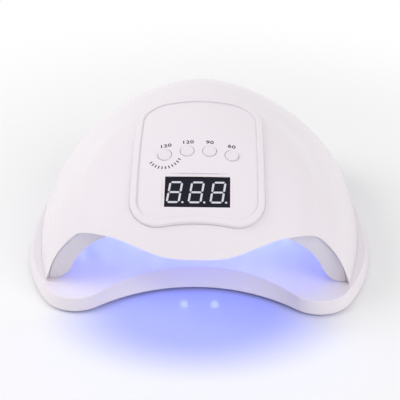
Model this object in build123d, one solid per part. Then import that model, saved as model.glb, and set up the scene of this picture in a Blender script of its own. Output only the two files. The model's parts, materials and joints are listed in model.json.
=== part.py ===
from build123d import *

import os
from functools import lru_cache
from math import cos, radians, sin, sqrt, tan

import numpy as np

os.makedirs("parts", exist_ok=True)

# A table lamp that cures gel nail polish, in millimetres.
# X runs to the right, the open mouth faces -Y and Z is up from the table.
# A domed lamp with a visor stands on a flat tray and lifts off it.

# Driving dimensions of the tray
TRAY_HALF_WIDTH = 112.0
TRAY_WIDEST_Y = -25.0
TRAY_REAR_Y = 102.4
TRAY_REAR_POWER = 2.8
TRAY_HEIGHT = 8.7
TRAY_WALL = 2.4
TRAY_EDGE_RADIUS = 0.8
TRAY_CREASE_RADIUS = 0.9
LOBE_X = 73.6
LOBE_Y = -72.3
LOBE_RADIUS = 23.4
NOTCH_Y = -72.6
NOTCH_SLOPE_RUN = 12.0
SIDE_SLOPE_RUN = 2.3
FOOT_HEIGHT = 1.5
FOOT_DIAMETER = 11.0
COVER_THICKNESS = 1.6
COVER_CLEARANCE = 0.3
FOOT_PLACES = ((70.0, -70.0), (96.0, 8.0), (52.0, 78.0))
COVER_SCREW_PLACES = ((84.0, -48.0), (78.0, 52.0))

# Driving dimensions of the domed skin
SEAT_GAP = 0.3
DOME_HALF_WIDTH = 108.3
DOME_HEIGHT = 79.7
DOME_REAR_Y = 98.0
WIDEST_Y = 12.0
SUMMIT_Y = 13.7
FRONT_PLAN_REACH = 176.0
FRONT_PROFILE_RADIUS = 150.0
REAR_PROFILE_POWER = 2.9
REAR_PLAN_POWER = 2.5
SECTION_POWER_REAR = 1.74
SECTION_POWER_FRONT = 2.45
SECTION_REAR_Y = 20.0
SECTION_FRONT_Y = -105.0
HIDDEN_SKIRT = 10.5
SHELL_WALL = 2.2

# Raised tongue that runs from the summit to the visor
TONGUE_RISE = 3.0
TONGUE_HALF_WIDTH = 80.0
TONGUE_Y = -45.0
TONGUE_HALF_LENGTH = 95.0
TONGUE_EDGE = 0.2
TONGUE_FADE_REAR_Y = 30.0
TONGUE_FADE_FRONT_Y = -35.0

# Mouth: the rim plane and the visor's edge seen from the front, heights above the lamp's base
RIM_Y = -74.0
RIM_THICKNESS = 2.0
VISOR_EDGE = ((20.0, 34.5), (37.0, 38.2), (52.0, 39.9), (61.0, 38.8), (69.0, 35.7), (76.0, 30.4),
              (83.0, 22.2), (88.5, 12.4), (92.8, 0.0))
VISOR_EDGE_CENTRE = 33.5
LIP_THICKNESS = 2.0

# Hood over the hand
HOOD_HALF_WIDTH = 94.0
HOOD_REAR_Y = 81.0
HOOD_FRONT_REACH = 160.0
HOOD_HEIGHT = 45.7
HOOD_POWER = 2.6
HOOD_WALL = 2.4
HOOD_SINK = 0.5
HOOD_FILLET = 12.0
HOOD_CLEARANCE = 0.3

# Control panel, on a plane tilted like the skin under it
PANEL_TILT = 65.5
PANEL_Y = -45.0
PANEL_HEIGHT = 68.5
PANEL_HALF_WIDTH = 39.6
PANEL_TOP = 57.0
PANEL_BOTTOM = -45.7
PANEL_TOP_CORNER = 20.0
PANEL_BOTTOM_CORNER = 17.0
PANEL_DIP = 1.9
BEAD_WIDTH = 4.0
BEAD_RISE = 1.8
BEAD_OUTER_ROUND = 1.6
BEAD_INNER_ROUND = 0.6
PANEL_LEDGE = 3.0
PANEL_CLEARANCE = 0.15
PANEL_PROUD = 0.6
PANEL_SEAT_DEPTH = 0.6

# Buttons, by their places across and up the panel
BUTTON_DIAMETER = 8.2
BUTTON_PITCH = 13.4
BUTTON_UP_INNER = 4.2
BUTTON_UP_OUTER = 1.6
BUTTON_TILT = 69.5
BUTTON_PROUD = 0.5
BUTTON_CLEARANCE = 0.25
BUTTON_SKIRT = 3.1
BUTTON_FLANGE = 0.8
BUTTON_FLANGE_STEP = 0.9
BUTTON_EDGE = 0.5
BUTTON_TRAVEL = 0.6
STEM_DIAMETER = 4.0
STEM_LENGTH = 1.8
SWITCH_SIZE = 6.0
SWITCH_HEIGHT = 3.3
PLUNGER_DIAMETER = 3.2
PLUNGER_CLEARANCE = 0.15
PLUNGER_PROUD = 1.1
PLUNGER_DEPTH = 1.2
BOARD_THICKNESS = 1.6
BUTTON_BOARD_SIZE = (66.0, 13.0)
BUTTON_BOARD_UP = 3.0
BUTTON_BOARD_POST_X = 29.5
POST_DIAMETER = 5.0

# Three-digit display
DISPLAY_UP = -23.9
DISPLAY_TILT = 58.7
DISPLAY_SIZE = (37.7, 19.4)
DISPLAY_DEPTH = 6.6
DISPLAY_RECESS = 1.2
DISPLAY_CLEARANCE = 0.3
DISPLAY_POCKET = 0.8
WINDOW_SIZE = (41.8, 24.0)
WINDOW_CORNER = 1.6
WINDOW_STEP = 1.1
DIGIT_HEIGHT = 14.2
DIGIT_WIDTH = 8.1
DIGIT_PITCH = 12.7
DIGIT_STROKE = 1.2
DIGIT_SLANT = 8.0
DIGIT_COUNT = 3
SEGMENT_GAP = 0.35
SEGMENT_DEPTH = 0.3
DOT_DIAMETER = 1.3
DISPLAY_BOARD_SIZE = (56.0, 19.0)
DISPLAY_BOARD_POST_X = 24.6

# Lamps inside the hood
STRIP_YS = (-12.5, 20.0, 51.0)
STRIP_NAMES = ("led_strip_front", "led_strip_middle", "led_strip_rear")
STRIP_WIDTH = 23.0
LED_STAGGER = 7.5
STRIP_THICKNESS = 1.2
STRIP_GAP = 0.15
STRIP_POST_CLEARANCE = 0.5
STRIP_LOW = 14.0
LED_ANGLES = (13.7, 35.0, 50.3, 63.0, 74.0)
LED_DIAMETER = 5.4
LED_CLEARANCE = 0.15
LED_PROUD = 0.7
LED_BACK_GAP = 0.12
EMITTER_DIAMETER = 3.4
EMITTER_HEIGHT = 0.7
EMITTER_CLEARANCE = 0.15

# Hand sensor in the hood's roof
SENSOR_Y = -35.5
SENSOR_DIAMETER = 6.0
SENSOR_CLEARANCE = 0.1
SENSOR_BOARD_SIZE = (12.0, 7.0, 1.2)

# Power board on posts over the hood
MAIN_BOARD_SIZE = (74.0, 46.0)
MAIN_BOARD_Y = 12.0
MAIN_BOARD_HEIGHT = 56.5
MAIN_POST_X = 32.0
MAIN_POST_DY = 18.5
BOARD_SCREW_DIAMETER = 2.5
BOARD_SCREW_HEAD = 4.6
BOARD_SCREW_HEAD_HEIGHT = 1.6
BOARD_SCREW_LENGTH = 6.0

# Screws and magnets in the base
BASE_SCREW_DIAMETER = 3.0
BASE_SCREW_HEAD = 5.6
BASE_SCREW_HEAD_HEIGHT = 1.2
BASE_SCREW_LENGTH = 9.0
BASE_SCREW_CLEARANCE = 0.2
BASE_BOSS_DIAMETER = 7.0
BASE_SCREW_YS = (-58.0, 8.0, 60.0)
MAGNET_YS = (-30.0, 40.0)
MAGNET_DIAMETER = 7.0
MAGNET_HEIGHT = 3.0
MAGNET_CLEARANCE = 0.1
MAGNET_CUP_WALL = 1.4
BASE_EDGE_INSET = 8.4

# Power inlet in the rear wall
INLET_HEIGHT = 26.0
INLET_FACE_Y = 97.2
INLET_COLLAR_DIAMETER = 16.0
INLET_BARREL_DIAMETER = 9.0
INLET_CLEARANCE = 0.15
INLET_BORE = 5.7
INLET_BORE_DEPTH = 9.0
INLET_LENGTH = 13.5
INLET_BODY = 11.0
INLET_PIN_DIAMETER = 2.0
INLET_PIN_LENGTH = 8.0
INLET_STEP = 5.0

# Cooling slots in the rear wall
VENT_COUNT = 7
VENT_PITCH = 6.4
VENT_WIDTH = 2.4
VENT_LENGTH = 15.0
VENT_HEIGHT = 52.0

# Wires
WIRE_DIAMETER = 2.4

# Levels that follow
TRAY_TOP = FOOT_HEIGHT + TRAY_HEIGHT
LAMP_BASE = TRAY_TOP + SEAT_GAP
FORM_ZERO = LAMP_BASE - HIDDEN_SKIRT
BIG = 300.0

# Sampling of the free-form surfaces
RAY_CENTRE = (0.0, 5.0, -50.0)
RAY_ANGLE = 66.0
SKIN_SAMPLES = 43
HOOD_SLOPE = 2.1
HOOD_SAMPLES = 57
PANEL_SAMPLES = 21
GRADIENT_STEP = 0.4
ROOT_STEPS = 42
FIT_TOLERANCE = 0.02


# Free-form surfaces, as fields that are zero on the surface and positive outside it

SKIN_TOP = DOME_HEIGHT + HIDDEN_SKIRT
HOOD_TOP = HOOD_HEIGHT + HIDDEN_SKIRT
SKIRT_DRAFT = 0.12
LOWEST_PROFILE = 2.0
FAR_LEVEL = 0.25
FAR_DISTANCE = 20.0


def smooth(t):
    t = np.clip(t, 0, 1)
    return t * t * (3 - 2 * t)


def profile_height(y):
    """Height of the skin's centre line above its widest level."""
    rise = np.sqrt(np.maximum(FRONT_PROFILE_RADIUS ** 2 - (y - SUMMIT_Y) ** 2, 1))
    front = np.maximum(SKIN_TOP - FRONT_PROFILE_RADIUS + rise, LOWEST_PROFILE)
    u = np.clip((y - SUMMIT_Y) / (DOME_REAR_Y - SUMMIT_Y), 0, 0.99999)
    rear = SKIN_TOP * (1 - u ** REAR_PROFILE_POWER) ** (1 / REAR_PROFILE_POWER)
    return np.where(y < SUMMIT_Y, front, rear)


def plan_half_width(y):
    u = np.clip((WIDEST_Y - y) / FRONT_PLAN_REACH, 0, 0.9999)
    front = DOME_HALF_WIDTH * np.sqrt(1 - u ** 2)
    v = np.clip((y - WIDEST_Y) / (DOME_REAR_Y - WIDEST_Y), 0, 0.99999)
    rear = DOME_HALF_WIDTH * (1 - v ** REAR_PLAN_POWER) ** (1 / REAR_PLAN_POWER)
    return np.where(y < WIDEST_Y, front, rear)


def section_power(y):
    share = smooth((SECTION_REAR_Y - y) / (SECTION_REAR_Y - SECTION_FRONT_Y))
    return SECTION_POWER_REAR + (SECTION_POWER_FRONT - SECTION_POWER_REAR) * share


def skirted(x, y, z):
    """Draws a point towards the middle below the widest level, so the skirt leans in."""
    reach = np.sqrt(x * x + y * y) + 1e-9
    share = np.maximum(reach - SKIRT_DRAFT * np.maximum(-z, 0), 1e-6) / reach
    return x * share, y * share


def skin_level(x, y, z):
    z = z - FORM_ZERO
    x, y = skirted(x, y, z)
    m = section_power(y)
    across = (np.abs(x) / plan_half_width(y)) ** m
    up = (np.maximum(z, 0) / profile_height(y)) ** m
    behind = FAR_LEVEL + (y - DOME_REAR_Y) / DOME_REAR_Y
    return np.where(y >= DOME_REAR_Y, behind, (across + up) ** (1 / m) - 1)


def hood_level(x, y, z):
    z = z - FORM_ZERO
    x, y = skirted(x, y, z)
    length = np.where(y < WIDEST_Y, HOOD_FRONT_REACH, HOOD_REAR_Y - WIDEST_Y)
    p = np.where(y < WIDEST_Y, 2.0, REAR_PLAN_POWER)
    around = ((np.abs(x) / HOOD_HALF_WIDTH) ** p + (np.abs(y - WIDEST_Y) / length) ** p) ** (1 / p)
    up = np.maximum(z, 0) / HOOD_TOP
    return (around ** HOOD_POWER + up ** HOOD_POWER) ** (1 / HOOD_POWER) - 1


def distance(level_of, x, y, z):
    """Level divided by its slope, which is the distance close to the surface."""
    e = GRADIENT_STEP
    level = level_of(x, y, z)
    gx = level_of(x + e, y, z) - level_of(x - e, y, z)
    gy = level_of(x, y + e, z) - level_of(x, y - e, z)
    gz = level_of(x, y, z + e) - level_of(x, y, z - e)
    near = level * 2 * e / np.sqrt(gx * gx + gy * gy + gz * gz + 1e-12)
    return np.where(level > FAR_LEVEL, np.maximum(near, FAR_DISTANCE), near)


def tongue_rise(x, y):
    radius = np.sqrt((x / TONGUE_HALF_WIDTH) ** 2 + ((y - TONGUE_Y) / TONGUE_HALF_LENGTH) ** 2)
    fade = smooth((TONGUE_FADE_REAR_Y - y) / (TONGUE_FADE_REAR_Y - TONGUE_FADE_FRONT_Y))
    return TONGUE_RISE * smooth((1 - radius) / TONGUE_EDGE) * fade


def skin_field(x, y, z):
    return distance(skin_level, x, y, z) - tongue_rise(x, y)


def hood_field(x, y, z):
    """The hand's space, which flares into the flat of the lamp's base."""
    cavity = distance(hood_level, x, y, z)
    floor = z - LAMP_BASE + HOOD_SINK
    h = np.clip(0.5 + 0.5 * (floor - cavity) / HOOD_FILLET, 0, 1)
    return floor * (1 - h) + cavity * h - HOOD_FILLET * h * (1 - h)


def march(field, origin, direction, nearest, farthest, offset):
    """Points along rays where the field reaches the offset, by halving."""
    origin = np.asarray(origin, float)
    direction = np.asarray(direction, float)
    low = np.full(direction.shape[:-1], float(nearest))
    high = np.full(direction.shape[:-1], float(farthest))
    for _ in range(ROOT_STEPS):
        middle = (low + high) / 2
        points = origin + direction * middle[..., None]
        inside = field(points[..., 0], points[..., 1], points[..., 2]) < offset
        low = np.where(inside, middle, low)
        high = np.where(inside, high, middle)
    return origin + direction * ((low + high) / 2)[..., None]


def solid_under(points, down):
    """Solid between a face through a grid of points and its copy moved down."""
    rows = [[Vector(*p) for p in row] for row in points]
    face = Face.make_surface_from_array_of_points(rows, tol=FIT_TOLERANCE, min_deg=3, max_deg=3)
    return Solid.extrude(face, Vector(*down))


def fan(field, slopes, offset):
    """Grid of points where rays from below reach the field's offset surface."""
    a, b = np.meshgrid(slopes, slopes, indexing="ij")
    rays = np.stack([a, b, np.ones_like(a)], -1)
    return march(field, RAY_CENTRE, rays, 5.0, BIG, offset)


@lru_cache
def under_skin(offset):
    slopes = np.tan(np.radians(np.linspace(-RAY_ANGLE, RAY_ANGLE, SKIN_SAMPLES)))
    return solid_under(fan(skin_field, slopes, offset), (0, 0, -BIG))


@lru_cache
def under_hood(offset):
    slopes = np.linspace(-HOOD_SLOPE, HOOD_SLOPE, HOOD_SAMPLES)
    return solid_under(fan(hood_field, slopes, offset), (0, 0, -BIG))


# Small helpers

def block(x0, x1, y0, y1, z0, z1):
    """A box between two corners."""
    size = Box(x1 - x0, y1 - y0, z1 - z0)
    return Pos((x0 + x1) / 2, (y0 + y1) / 2, (z0 + z1) / 2) * size


def drum(place, diameter, length, offset=0.0):
    """A cylinder that starts at an offset along the place's Z and runs along it."""
    return place * Pos(0, 0, offset + length / 2) * Cylinder(diameter / 2, abs(length))


def largest(shape):
    """The largest solid of a cut, without crumbs."""
    return max(shape.solids(), key=lambda s: s.volume)


def group(shapes):
    """One node that holds several separate solids."""
    return Compound([s for shape in shapes for s in shape.solids()])


def shifted(place, x=0.0, y=0.0, z=0.0):
    """A place moved along its own axes."""
    return Plane(place.origin + place.x_dir * x + place.y_dir * y + place.z_dir * z,
                 x_dir=place.x_dir, z_dir=place.z_dir)


def both_sides(places):
    return [(side * x, y) for side in (-1, 1) for x, y in places]


def tilted(point, tilt):
    """A place on the panel, with Z out of it and Y up it."""
    a = radians(tilt)
    return Plane(origin=point, x_dir=(1, 0, 0), z_dir=(0, -cos(a), sin(a)))


# Tray

def tray_outline(half_width, lobe_radius, notch_y, rear_y, z):
    """Outline with a notch between two round lobes at the front."""
    drop = LOBE_Y - notch_y
    notch_radius = (LOBE_X ** 2 + drop ** 2 - lobe_radius ** 2) / (2 * (lobe_radius - drop))
    side = half_width - LOBE_X
    back = TRAY_WIDEST_Y - LOBE_Y
    side_radius = (side ** 2 + back ** 2 - lobe_radius ** 2) / (2 * (side - lobe_radius))
    lobe = Vector(LOBE_X, LOBE_Y)
    to_notch = (Vector(0, notch_y - notch_radius) - lobe).normalized()
    side_centre = Vector(half_width - side_radius, TRAY_WIDEST_Y)
    to_side = (lobe - side_centre).normalized()
    notch_end = lobe + to_notch * lobe_radius
    lobe_middle = lobe + (to_notch + to_side).normalized() * lobe_radius
    lobe_end = lobe + to_side * lobe_radius
    widest = Vector(half_width, TRAY_WIDEST_Y)
    side_middle = side_centre + ((lobe_end - side_centre) + (widest - side_centre)).normalized() * side_radius
    rear = [widest]
    for angle in range(10, 90, 10):
        x = half_width * cos(radians(angle)) ** (2 / TRAY_REAR_POWER)
        rise = sin(radians(angle)) ** (2 / TRAY_REAR_POWER)
        rear.append(Vector(x, TRAY_WIDEST_Y + (rear_y - TRAY_WIDEST_Y) * rise))
    rear.append(Vector(0, rear_y))

    def left(p):
        return Vector(-p.X, p.Y)

    edges = [
        ThreePointArc(left(notch_end), (0, notch_y), notch_end),
        ThreePointArc(notch_end, lobe_middle, lobe_end),
        ThreePointArc(lobe_end, side_middle, widest),
        Spline(rear, tangents=((0, 1), (-1, 0))),
        Spline([left(p) for p in reversed(rear)], tangents=((-1, 0), (0, -1))),
        ThreePointArc(left(widest), left(side_middle), left(lobe_end)),
        ThreePointArc(left(lobe_end), left(lobe_middle), left(notch_end)),
    ]
    return Pos(0, 0, z) * make_face(edges)


def tray_inner_outline(inset, z):
    """Outline of the tray's hollow, inside its top edge."""
    shrink = SIDE_SLOPE_RUN + inset
    return tray_outline(TRAY_HALF_WIDTH - shrink, LOBE_RADIUS - shrink,
                        NOTCH_Y + NOTCH_SLOPE_RUN + inset, TRAY_REAR_Y - shrink, z)


def base_tray():
    low = tray_outline(TRAY_HALF_WIDTH, LOBE_RADIUS, NOTCH_Y, TRAY_REAR_Y, FOOT_HEIGHT)
    high = tray_inner_outline(0.0, TRAY_TOP)
    body = loft([low, high], ruled=True)
    rims = body.edges().group_by(Axis.Z)
    body = fillet(rims[-1], TRAY_CREASE_RADIUS)
    body = fillet(body.edges().group_by(Axis.Z)[0], TRAY_EDGE_RADIUS)
    roof = TRAY_TOP - TRAY_WALL
    body -= extrude(tray_inner_outline(TRAY_WALL, FOOT_HEIGHT), roof - FOOT_HEIGHT)
    seat = FOOT_HEIGHT + COVER_THICKNESS
    for x, y in both_sides(COVER_SCREW_PLACES):
        body += drum(Pos(x, y, seat), BASE_BOSS_DIAMETER, roof - seat)
        body -= drum(Pos(x, y, seat), BASE_SCREW_DIAMETER, roof - seat)
    ring = MAGNET_DIAMETER + 2 * (MAGNET_CLEARANCE + MAGNET_CUP_WALL)
    for x, y in base_edge_places(MAGNET_YS):
        body += drum(Pos(x, y, roof), ring, -MAGNET_HEIGHT)
        body -= drum(Pos(x, y, roof), MAGNET_DIAMETER + 2 * MAGNET_CLEARANCE, -MAGNET_HEIGHT)
    return largest(body)


def tray_cover():
    sheet = extrude(tray_inner_outline(TRAY_WALL + COVER_CLEARANCE, FOOT_HEIGHT), COVER_THICKNESS)
    for x, y in both_sides(COVER_SCREW_PLACES):
        sheet -= drum(Pos(x, y, FOOT_HEIGHT), BASE_SCREW_DIAMETER + 2 * BASE_SCREW_CLEARANCE, COVER_THICKNESS)
        sheet -= drum(Pos(x, y, FOOT_HEIGHT), BASE_SCREW_HEAD + 2 * BASE_SCREW_CLEARANCE,
                      COVER_THICKNESS / 2)
    return largest(sheet)


def tray_feet():
    foot = drum(Pos(0, 0, 0), FOOT_DIAMETER, FOOT_HEIGHT)
    foot = chamfer(foot.edges().group_by(Axis.Z)[0], FOOT_HEIGHT / 4)
    return group([Pos(x, y, 0) * foot for x, y in both_sides(FOOT_PLACES)])


def tray_screws():
    length = TRAY_TOP - TRAY_WALL - FOOT_HEIGHT - COVER_THICKNESS / 2
    head = COVER_THICKNESS / 2
    screws = []
    for x, y in both_sides(COVER_SCREW_PLACES):
        place = Pos(x, y, FOOT_HEIGHT)
        screw = drum(place, BASE_SCREW_HEAD, head) + drum(place, BASE_SCREW_DIAMETER, length, head)
        screw -= cross_slot(place, BASE_SCREW_HEAD, head / 2)
        screws.append(screw)
    return group(screws)


def cross_slot(place, head, depth):
    """Cutter for a cross recess in a screw head."""
    arm = Box(head * 0.62, head * 0.16, depth)
    return place * Pos(0, 0, depth / 2) * (arm + Rot(0, 0, 90) * arm)


def tray_magnets():
    roof = TRAY_TOP - TRAY_WALL
    return group([drum(Pos(x, y, roof), MAGNET_DIAMETER, -MAGNET_HEIGHT) for x, y in base_edge_places(MAGNET_YS)])


# Shells of the lamp

def base_edge_places(ys):
    """Places along the lamp's base, inside its edge, on both sides."""
    places = []
    for y in ys:
        out = (1.0, 0.0) if y < WIDEST_Y else (sqrt(1 - ((y - WIDEST_Y) / DOME_REAR_Y) ** 2),
                                                (y - WIDEST_Y) / DOME_REAR_Y)
        edge = march(skin_field, (0.0, y, LAMP_BASE + HOOD_WALL), [1.0, 0.0, 0.0], 5.0, BIG, 0.0)
        x = edge[0] - BASE_EDGE_INSET * out[0]
        places += [(-x, y - BASE_EDGE_INSET * out[1]), (x, y - BASE_EDGE_INSET * out[1])]
    return places


def visor_outline(thickness=None):
    """The mouth's edge seen from the front, filled down, or as a strip above the edge."""
    right = [(x, h + LAMP_BASE) for x, h in VISOR_EDGE]
    left = [(-x, z) for x, z in reversed(right)]
    points = left + [(0, VISOR_EDGE_CENTRE + LAMP_BASE)] + right
    curve = Spline(points)
    if thickness is None:
        low = LAMP_BASE - BIG / 3
        return [curve, Polyline(points[-1], (points[-1][0], low), (points[0][0], low), points[0])]
    raised = Pos(0, thickness) * curve
    return [curve, Line(curve @ 1, raised @ 1), raised, Line(raised @ 0, curve @ 0)]


def along_mouth(edges, y0, y1):
    """A front-view outline carried from one Y to another."""
    face = make_face(edges)
    return extrude(Plane((0, y1, 0), x_dir=(1, 0, 0), z_dir=(0, -1, 0)) * face, y1 - y0)


PANEL_PLACE = tilted((0, PANEL_Y, LAMP_BASE + PANEL_HEIGHT), PANEL_TILT)


def panel_points(across, up, offset):
    """Points of the skin behind places of the panel plane, moved out by the offset."""
    frame = PANEL_PLACE
    out = np.array(tuple(frame.z_dir))
    start = np.array(tuple(frame.origin)) - out * (BIG / 6)
    start = start + np.multiply.outer(across, tuple(frame.x_dir)) + np.multiply.outer(up, tuple(frame.y_dir))
    return march(skin_field, start, np.broadcast_to(out, start.shape), 0.0, BIG / 3, offset)


def panel_point(across, up, offset):
    return Vector(*panel_points(across, up, offset))


def panel_outline(inset):
    """Rounded outline whose lower edge dips upwards in the middle, moved in by the inset."""
    side = PANEL_HALF_WIDTH - inset
    top = PANEL_TOP - inset
    low = Vector(PANEL_HALF_WIDTH - PANEL_BOTTOM_CORNER, PANEL_BOTTOM + PANEL_BOTTOM_CORNER)
    high = Vector(PANEL_HALF_WIDTH - PANEL_TOP_CORNER, PANEL_TOP - PANEL_TOP_CORNER)
    rise = PANEL_BOTTOM_CORNER - PANEL_DIP
    dip_radius = (low.X ** 2 + rise ** 2 - PANEL_BOTTOM_CORNER ** 2) / (2 * PANEL_DIP)
    to_dip = (Vector(0, PANEL_BOTTOM + PANEL_DIP - dip_radius) - low).normalized()
    low_radius = PANEL_BOTTOM_CORNER - inset
    high_radius = PANEL_TOP_CORNER - inset
    dip_end = low + to_dip * low_radius
    low_middle = low + (to_dip + Vector(1, 0)).normalized() * low_radius
    high_middle = high + Vector(1, 1).normalized() * high_radius
    right = [
        ThreePointArc(dip_end, low_middle, (side, low.Y)),
        Line((side, low.Y), (side, high.Y)),
        ThreePointArc((side, high.Y), high_middle, (high.X, top)),
    ]
    dip = ThreePointArc((-dip_end.X, dip_end.Y), (0, PANEL_BOTTOM + PANEL_DIP + inset), dip_end)
    crown = Line((-high.X, top), (high.X, top))
    return make_face([dip, crown] + right + [mirror(edge, Plane.YZ) for edge in right])


def panel_prism(inset):
    return extrude(PANEL_PLACE * panel_outline(inset), BIG / 8, both=True)


@lru_cache
def under_panel(offset):
    """Solid under the part of the skin that carries the panel."""
    across = np.linspace(-1.2 * PANEL_HALF_WIDTH, 1.2 * PANEL_HALF_WIDTH, PANEL_SAMPLES)
    up = np.linspace(1.2 * PANEL_BOTTOM, 1.2 * PANEL_TOP, PANEL_SAMPLES)
    a, b = np.meshgrid(across, up, indexing="ij")
    return solid_under(panel_points(a, b, offset), tuple(PANEL_PLACE.z_dir * (-BIG / 8)))


def on_skin(edge, rise):
    """Whether an edge runs along the skin moved out by the rise."""
    p = edge @ 0.5
    q = edge @ 0.1
    return all(abs(float(skin_field(v.X, v.Y, v.Z)) - rise) < 0.1 for v in (p, q))


def inlet_place(y):
    """Centre of the power inlet at a depth, with Z out of the rear wall."""
    return Plane((0, y, LAMP_BASE + INLET_HEIGHT), x_dir=(-1, 0, 0), z_dir=(0, 1, 0))


def outer_shell():
    shell = under_skin(0.0) & block(-BIG / 2, BIG / 2, -BIG / 2, BIG / 2, LAMP_BASE, BIG)
    shell -= under_skin(-SHELL_WALL)
    shell -= along_mouth(visor_outline(), -BIG / 2, RIM_Y)
    shell -= panel_prism(-PANEL_CLEARANCE) - under_panel(-PANEL_SEAT_DEPTH)
    shell -= panel_prism(PANEL_LEDGE)
    shell = largest(shell)
    seat = under_hood(HOOD_WALL)
    inside = under_skin(-SHELL_WALL / 2)
    for x, y in base_edge_places(BASE_SCREW_YS):
        boss = drum(Pos(x, y, LAMP_BASE), BASE_BOSS_DIAMETER, DOME_HEIGHT) & inside
        boss = largest(boss - seat)
        hole = drum(Pos(x, y, LAMP_BASE), BASE_SCREW_DIAMETER, BASE_SCREW_LENGTH)
        shell = shell + boss - hole
    collar = drum(inlet_place(INLET_FACE_Y), INLET_COLLAR_DIAMETER, -INLET_STEP)
    collar = fillet(collar.edges().group_by(Axis.Y)[-1], 1.0)
    shell += collar
    shell -= drum(inlet_place(INLET_FACE_Y), INLET_BARREL_DIAMETER + 2 * INLET_CLEARANCE, -2 * INLET_STEP)
    slot = SlotOverall(VENT_LENGTH, VENT_WIDTH, rotation=90)
    for i in range(VENT_COUNT):
        x = (i - (VENT_COUNT - 1) / 2) * VENT_PITCH
        place = Plane((x, DOME_REAR_Y, LAMP_BASE + VENT_HEIGHT), x_dir=(-1, 0, 0), z_dir=(0, 1, 0))
        shell -= extrude(place * slot, -DOME_REAR_Y / 3)
    return largest(shell)


def main_post_places():
    return both_sides([(MAIN_POST_X, MAIN_BOARD_Y + MAIN_POST_DY), (MAIN_POST_X, MAIN_BOARD_Y - MAIN_POST_DY)])


def inner_hood():
    room = under_skin(-SHELL_WALL - HOOD_CLEARANCE)
    hand = under_hood(0.0)
    behind_rim = block(-BIG / 2, BIG / 2, RIM_Y, BIG / 2, LAMP_BASE, BIG)
    liner = (under_hood(HOOD_WALL) & behind_rim & room) - hand
    mouth = along_mouth(visor_outline(), RIM_Y - 1, RIM_Y + RIM_THICKNESS + 1)
    rim = room & block(-BIG / 2, BIG / 2, RIM_Y, RIM_Y + RIM_THICKNESS, LAMP_BASE, BIG)
    rim -= hand & mouth
    lip = along_mouth(visor_outline(LIP_THICKNESS), -BIG / 2, RIM_Y + RIM_THICKNESS) & room
    module = Box(*(size + 2 * DISPLAY_POCKET for size in (*DISPLAY_SIZE, DISPLAY_DEPTH)))
    rim = largest(rim - shifted(display_place(), z=-DISPLAY_DEPTH / 2) * module)
    hood = largest(liner) + rim + largest(lip)
    cup = MAGNET_DIAMETER + 2 * (MAGNET_CLEARANCE + MAGNET_CUP_WALL)
    for x, y in base_edge_places(MAGNET_YS):
        hood += drum(Pos(x, y, LAMP_BASE), cup, MAGNET_HEIGHT + MAGNET_CUP_WALL) & room
        hood -= drum(Pos(x, y, LAMP_BASE), MAGNET_DIAMETER + 2 * MAGNET_CLEARANCE, MAGNET_HEIGHT)
    for x, y in base_edge_places(BASE_SCREW_YS):
        hood -= drum(Pos(x, y, LAMP_BASE), BASE_SCREW_DIAMETER + 2 * BASE_SCREW_CLEARANCE,
                     BASE_SCREW_LENGTH + BASE_SCREW_CLEARANCE)
        hood -= drum(Pos(x, y, LAMP_BASE), BASE_SCREW_HEAD + 2 * BASE_SCREW_CLEARANCE,
                     BASE_SCREW_HEAD_HEIGHT)
    for x, y in main_post_places():
        post = drum(Pos(x, y, LAMP_BASE), POST_DIAMETER, MAIN_BOARD_HEIGHT) - under_hood(HOOD_WALL / 2)
        top = Pos(x, y, LAMP_BASE + MAIN_BOARD_HEIGHT)
        hood = hood + post - drum(top, BOARD_SCREW_DIAMETER, -BOARD_SCREW_LENGTH)
    for place in led_places():
        hood -= drum(place, LED_DIAMETER + 2 * LED_CLEARANCE, 2 * HOOD_WALL, -HOOD_WALL / 2)
    hood -= drum(sensor_place(), SENSOR_DIAMETER + 2 * SENSOR_CLEARANCE, 2 * HOOD_WALL, -HOOD_WALL / 2)
    return largest(hood)


def housing_magnets():
    places = base_edge_places(MAGNET_YS)
    return group([drum(Pos(x, y, LAMP_BASE), MAGNET_DIAMETER, MAGNET_HEIGHT) for x, y in places])


def housing_screws():
    screws = []
    for x, y in base_edge_places(BASE_SCREW_YS):
        place = Pos(x, y, LAMP_BASE)
        screw = drum(place, BASE_SCREW_HEAD, BASE_SCREW_HEAD_HEIGHT)
        screw += drum(place, BASE_SCREW_DIAMETER, BASE_SCREW_LENGTH)
        screws.append(screw - cross_slot(place, BASE_SCREW_HEAD, BASE_SCREW_HEAD_HEIGHT / 2))
    return group(screws)


# Lights in the hood

def hood_place(origin, direction):
    """Place on the hood's inner face where a ray leaves it, with Z along the outward normal."""
    p = march(hood_field, origin, direction, 2.0, BIG, 0.0)
    e = GRADIENT_STEP
    n = [hood_field(*(p + e * axis)) - hood_field(*(p - e * axis)) for axis in np.eye(3)]
    return Plane(origin=tuple(p), z_dir=tuple(float(c) for c in n))


def led_places():
    places = []
    for y in STRIP_YS:
        for i, angle in enumerate(LED_ANGLES):
            row = y + LED_STAGGER * (1 if i % 2 else -1)
            for side in (-1, 1):
                a = radians(side * angle)
                places.append(hood_place((0.0, row, LAMP_BASE), (sin(a), 0.0, cos(a))))
    return places


def led_strip(y):
    slab = block(-BIG / 2, BIG / 2, y - STRIP_WIDTH / 2, y + STRIP_WIDTH / 2, LAMP_BASE + STRIP_LOW, BIG)
    low = HOOD_WALL + STRIP_GAP
    band = (under_hood(low + STRIP_THICKNESS) & slab) - under_hood(low)
    for x, post_y in main_post_places():
        band -= drum(Pos(x, post_y, LAMP_BASE), POST_DIAMETER + 2 * STRIP_POST_CLEARANCE, MAIN_BOARD_HEIGHT)
    return largest(band)


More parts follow.
